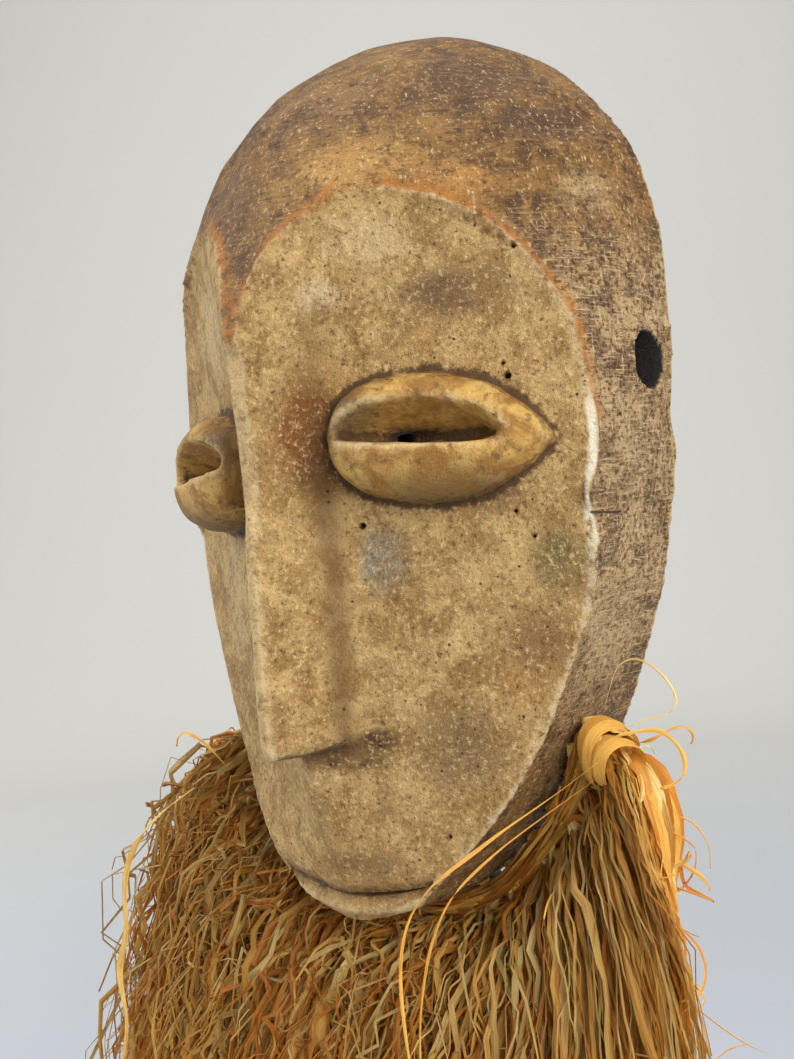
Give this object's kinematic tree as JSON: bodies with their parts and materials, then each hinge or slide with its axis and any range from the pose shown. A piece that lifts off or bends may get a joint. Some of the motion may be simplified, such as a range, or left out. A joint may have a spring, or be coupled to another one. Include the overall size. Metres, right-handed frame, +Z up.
{
  "type": "lega mask on a stand",
  "caption": "Carved wooden mask, hollow behind, with slit eyes, long nose and a tied raffia beard, held upright on a bent steel rod in a square foot.",
  "frame": {"origin": "middle of the foot's underside, on the surface that the stand rests on", "axes": "+Z up, along the mask's height; the mask looks along -Y; +X is to the viewer's right"},
  "size_m": [0.2868, 0.16, 0.5496],
  "materials": {
    "carved_wood": "worn matt patina over pale wood, dirt in the corners",
    "raffia": "dry golden brown raffia strips",
    "stand_steel": "satin black paint"
  },
  "bodies": {
    "root": {"mask": "carved_wood", "raffia_tuft_01": "raffia", "raffia_tuft_02": "raffia", "raffia_tuft_03": "raffia", "raffia_tuft_04": "raffia", "raffia_tuft_05": "raffia", "raffia_tuft_06": "raffia", "raffia_tuft_07": "raffia", "raffia_tuft_08": "raffia", "raffia_tuft_09": "raffia", "raffia_tuft_10": "raffia", "raffia_tuft_11": "raffia", "raffia_tuft_12": "raffia", "raffia_tuft_13": "raffia", "raffia_tuft_14": "raffia", "stand_rod": "stand_steel", "stand_foot": "stand_steel"}
  },
  "joints": []
}
